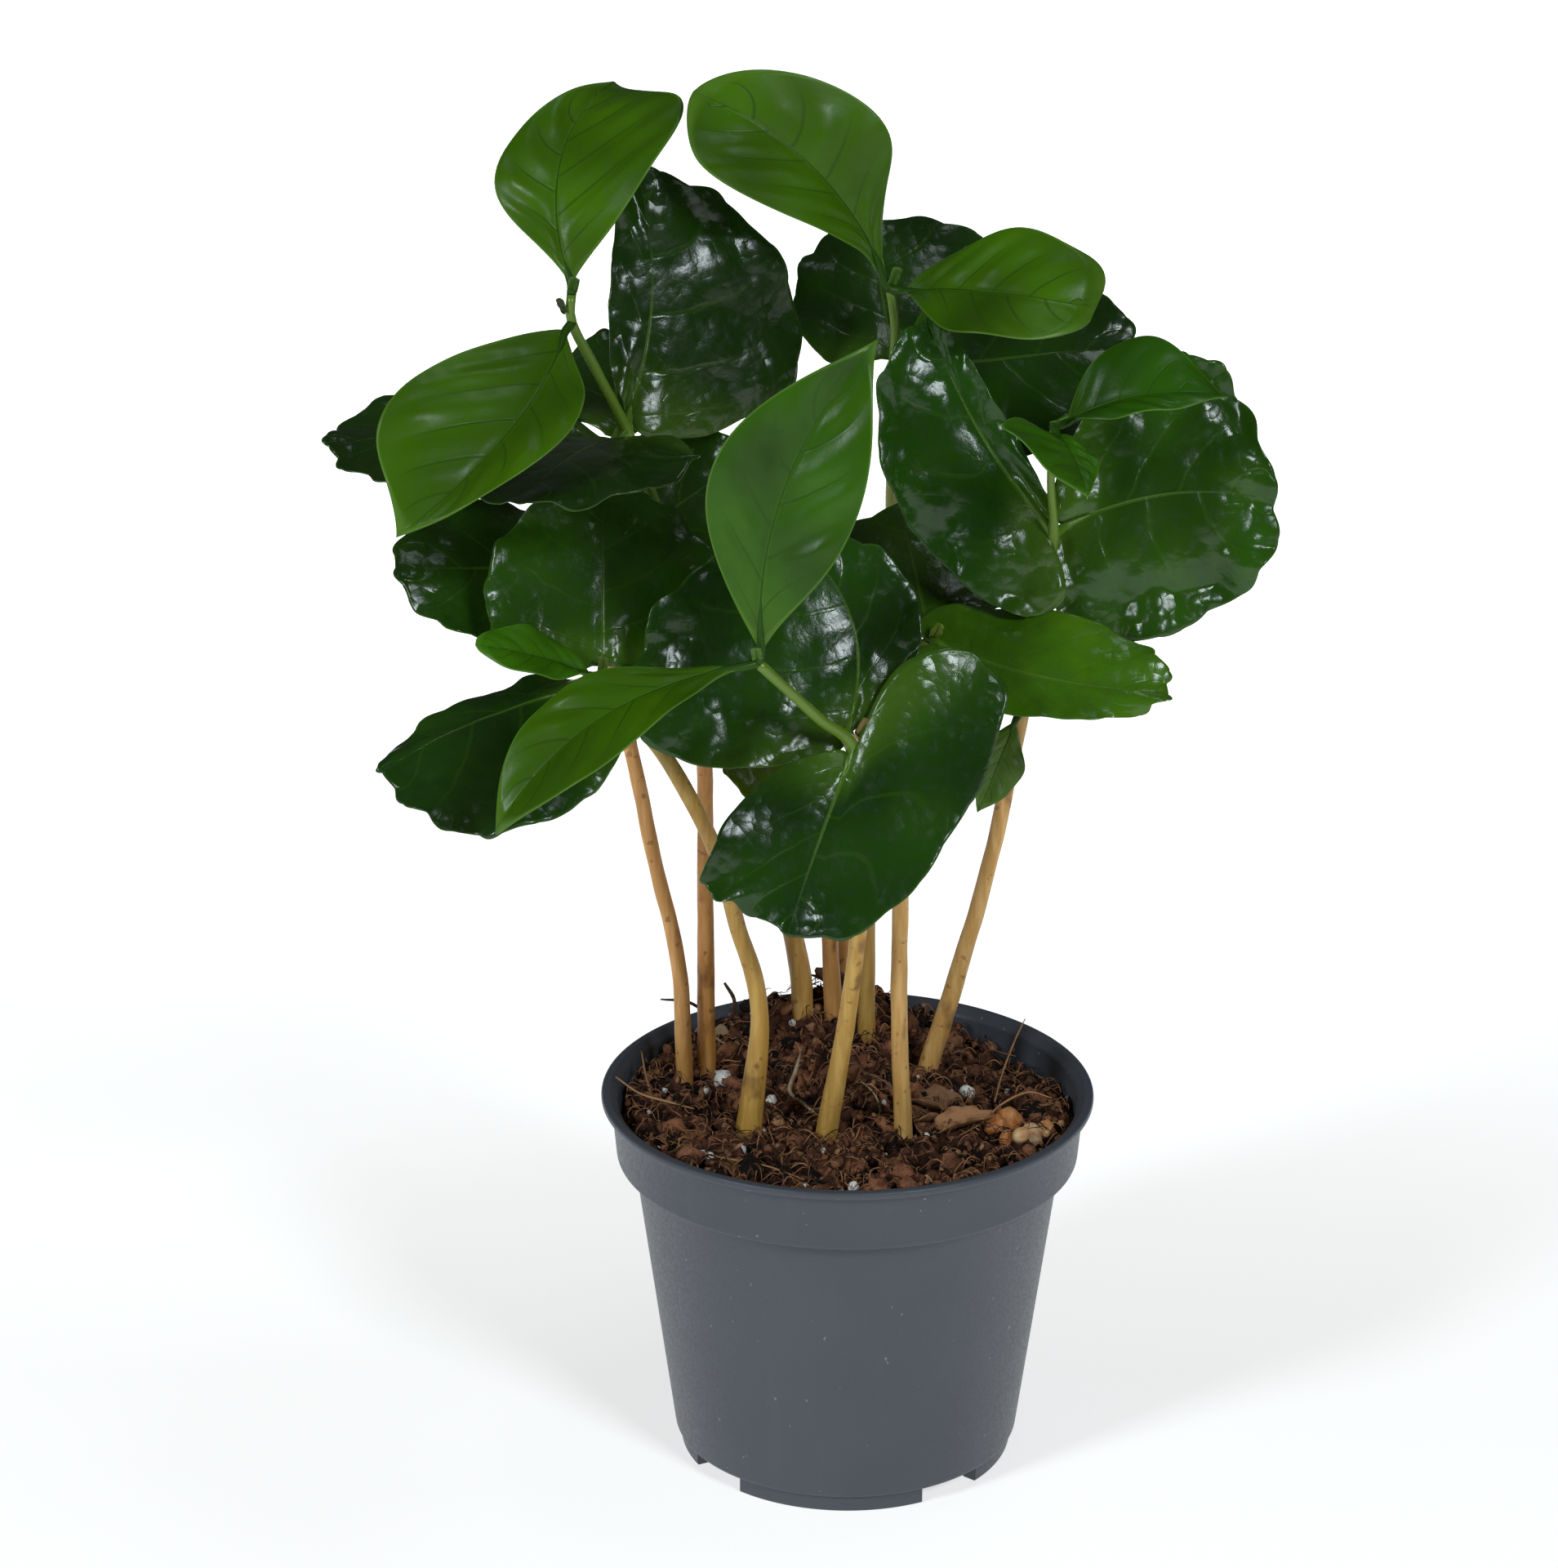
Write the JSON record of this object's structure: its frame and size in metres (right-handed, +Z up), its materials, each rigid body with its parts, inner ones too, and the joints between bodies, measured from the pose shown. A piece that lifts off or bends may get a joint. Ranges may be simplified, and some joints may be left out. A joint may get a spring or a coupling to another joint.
{
  "type": "potted coffee plant",
  "caption": "Young coffee seedlings with round, waved seed leaves and pointed true leaves on thin stems, growing from soil in a small tapered plastic nursery pot.",
  "frame": {"origin": "on the axis of the pot, in the plane that it stands on", "axes": "+Z up along the pot's axis, -Y towards the side that faces the picture's camera, +X to its right"},
  "size_m": [0.1683, 0.1259, 0.2549],
  "materials": {
    "pot_plastic": "satin",
    "soil": "rough, crumbly",
    "stem": "smooth, slightly glossy",
    "seed_leaf": "glossy, puckered",
    "true_leaf": "glossy, veined"
  },
  "bodies": {
    "root": {"pot": "pot_plastic", "seed_leaf_a_1": "seed_leaf", "seed_leaf_a_2": "seed_leaf", "seed_leaf_b_1": "seed_leaf", "seed_leaf_b_2": "seed_leaf", "seed_leaf_c_1": "seed_leaf", "seed_leaf_c_2": "seed_leaf", "seed_leaf_d_1": "seed_leaf", "seed_leaf_d_2": "seed_leaf", "seed_leaf_e_1": "seed_leaf", "seed_leaf_e_2": "seed_leaf", "seed_leaf_f_1": "seed_leaf", "seed_leaf_f_2": "seed_leaf", "seed_leaf_g_1": "seed_leaf", "seed_leaf_g_2": "seed_leaf", "seed_leaf_h_1": "seed_leaf", "seed_leaf_h_2": "seed_leaf", "seed_leaf_j_1": "seed_leaf", "seed_leaf_j_2": "seed_leaf", "seed_leaf_k_1": "seed_leaf", "seed_leaf_k_2": "seed_leaf", "soil": "soil", "stem_a": "stem", "stem_b": "stem", "stem_c": "stem", "stem_d": "stem", "stem_e": "stem", "stem_f": "stem", "stem_g": "stem", "stem_h": "stem", "stem_j": "stem", "stem_k": "stem", "true_leaf_a_1": "true_leaf", "true_leaf_a_2": "true_leaf", "true_leaf_b_1": "true_leaf", "true_leaf_b_2": "true_leaf", "true_leaf_d_1": "true_leaf", "true_leaf_e_1": "true_leaf", "true_leaf_e_2": "true_leaf", "true_leaf_f_1": "true_leaf", "true_leaf_f_2": "true_leaf", "true_leaf_f_3": "true_leaf"}
  },
  "joints": []
}
